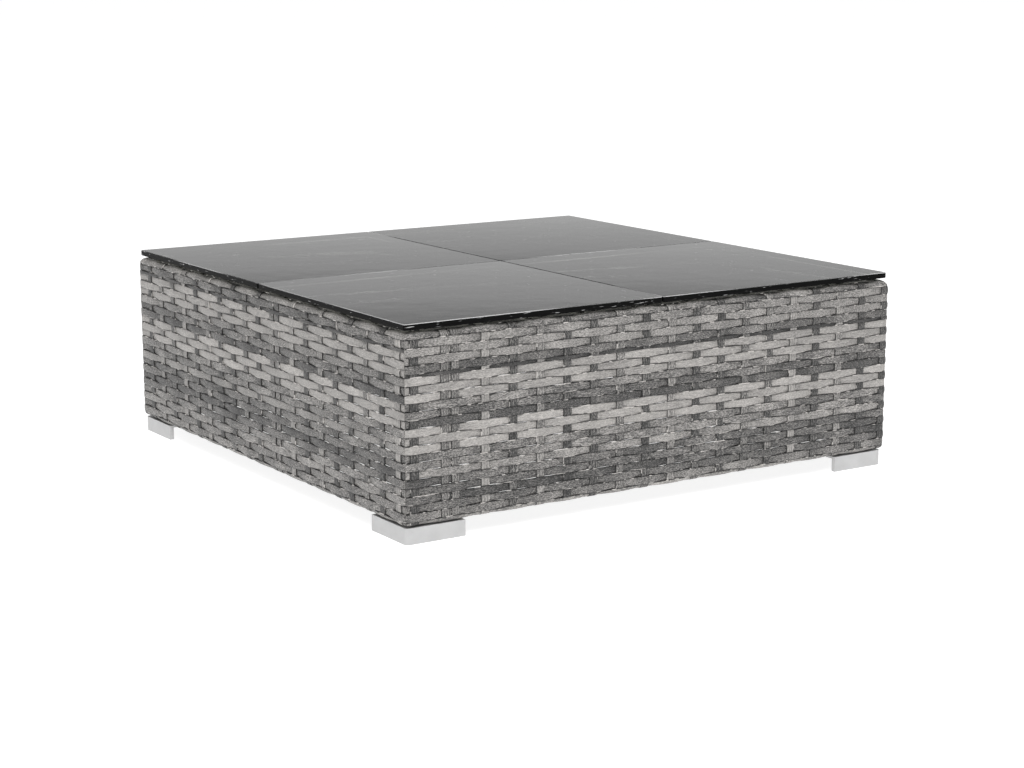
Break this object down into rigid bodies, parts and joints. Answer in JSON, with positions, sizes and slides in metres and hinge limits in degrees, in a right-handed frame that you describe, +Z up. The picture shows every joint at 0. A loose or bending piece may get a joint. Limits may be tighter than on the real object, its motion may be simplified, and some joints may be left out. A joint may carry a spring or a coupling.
{
  "type": "wicker coffee table",
  "caption": "Low square coffee table with woven grey wicker sides, tinted glass top panes on clear pads and light grey corner feet.",
  "frame": {"origin": "on the floor under the middle of the table", "axes": "+Z up, +Y from the front side to the back side, +X to the right side"},
  "size_m": [1, 1, 0.35],
  "materials": {
    "woven_strip": "flat woven synthetic wicker strip in variegated warm greys, satin with fine streaks",
    "tinted_glass": "smoked flat glass, polished faces and ground edges",
    "foot_plastic": "satin light grey moulded plastic",
    "frame_tube": "dark grey powder coat on welded square tube",
    "clear_pad": "clear soft silicone",
    "fastener_steel": "plain zinc-bright steel"
  },
  "bodies": {
    "base": {"front_frame": "frame_tube", "front_weave": "woven_strip", "right_frame": "frame_tube", "right_weave": "woven_strip", "back_frame": "frame_tube", "back_weave": "woven_strip", "left_frame": "frame_tube", "left_weave": "woven_strip", "deck_frame": "frame_tube", "deck_weave": "woven_strip", "pad_front_left_1": "clear_pad", "pad_front_left_2": "clear_pad", "pad_front_left_3": "clear_pad", "pad_front_left_4": "clear_pad", "pad_front_right_1": "clear_pad", "pad_front_right_2": "clear_pad", "pad_front_right_3": "clear_pad", "pad_front_right_4": "clear_pad", "pad_back_right_1": "clear_pad", "pad_back_right_2": "clear_pad", "pad_back_right_3": "clear_pad", "pad_back_right_4": "clear_pad", "pad_back_left_1": "clear_pad", "pad_back_left_2": "clear_pad", "pad_back_left_3": "clear_pad", "pad_back_left_4": "clear_pad", "foot_front_left": "foot_plastic", "foot_screw_front_left_1": "fastener_steel", "foot_screw_front_left_2": "fastener_steel", "foot_front_right": "foot_plastic", "foot_screw_front_right_1": "fastener_steel", "foot_screw_front_right_2": "fastener_steel", "foot_back_right": "foot_plastic", "foot_screw_back_right_1": "fastener_steel", "foot_screw_back_right_2": "fastener_steel", "foot_back_left": "foot_plastic", "foot_screw_back_left_1": "fastener_steel", "foot_screw_back_left_2": "fastener_steel", "corner_bolt_front_left_1": "fastener_steel", "corner_bolt_front_left_2": "fastener_steel", "corner_bolt_front_right_1": "fastener_steel", "corner_bolt_front_right_2": "fastener_steel", "corner_bolt_back_right_1": "fastener_steel", "corner_bolt_back_right_2": "fastener_steel", "corner_bolt_back_left_1": "fastener_steel", "corner_bolt_back_left_2": "fastener_steel", "deck_bolt_front_1": "fastener_steel", "deck_bolt_front_2": "fastener_steel", "deck_bolt_right_1": "fastener_steel", "deck_bolt_right_2": "fastener_steel", "deck_bolt_back_1": "fastener_steel", "deck_bolt_back_2": "fastener_steel", "deck_bolt_left_1": "fastener_steel", "deck_bolt_left_2": "fastener_steel"},
    "pane_front_left": {"glass_front_left": "tinted_glass"},
    "pane_front_right": {"glass_front_right": "tinted_glass"},
    "pane_back_right": {"glass_back_right": "tinted_glass"},
    "pane_back_left": {"glass_back_left": "tinted_glass"}
  },
  "joints": [
    {"name": "lift_front_left_pane", "type": "slide", "parent": "base", "child": "pane_front_left", "axis": [0, 0, 1], "range_m": [0, 0.1]},
    {"name": "lift_front_right_pane", "type": "slide", "parent": "base", "child": "pane_front_right", "axis": [0, 0, 1], "range_m": [0, 0.1]},
    {"name": "lift_back_right_pane", "type": "slide", "parent": "base", "child": "pane_back_right", "axis": [0, 0, 1], "range_m": [0, 0.1]},
    {"name": "lift_back_left_pane", "type": "slide", "parent": "base", "child": "pane_back_left", "axis": [0, 0, 1], "range_m": [0, 0.1]}
  ]
}
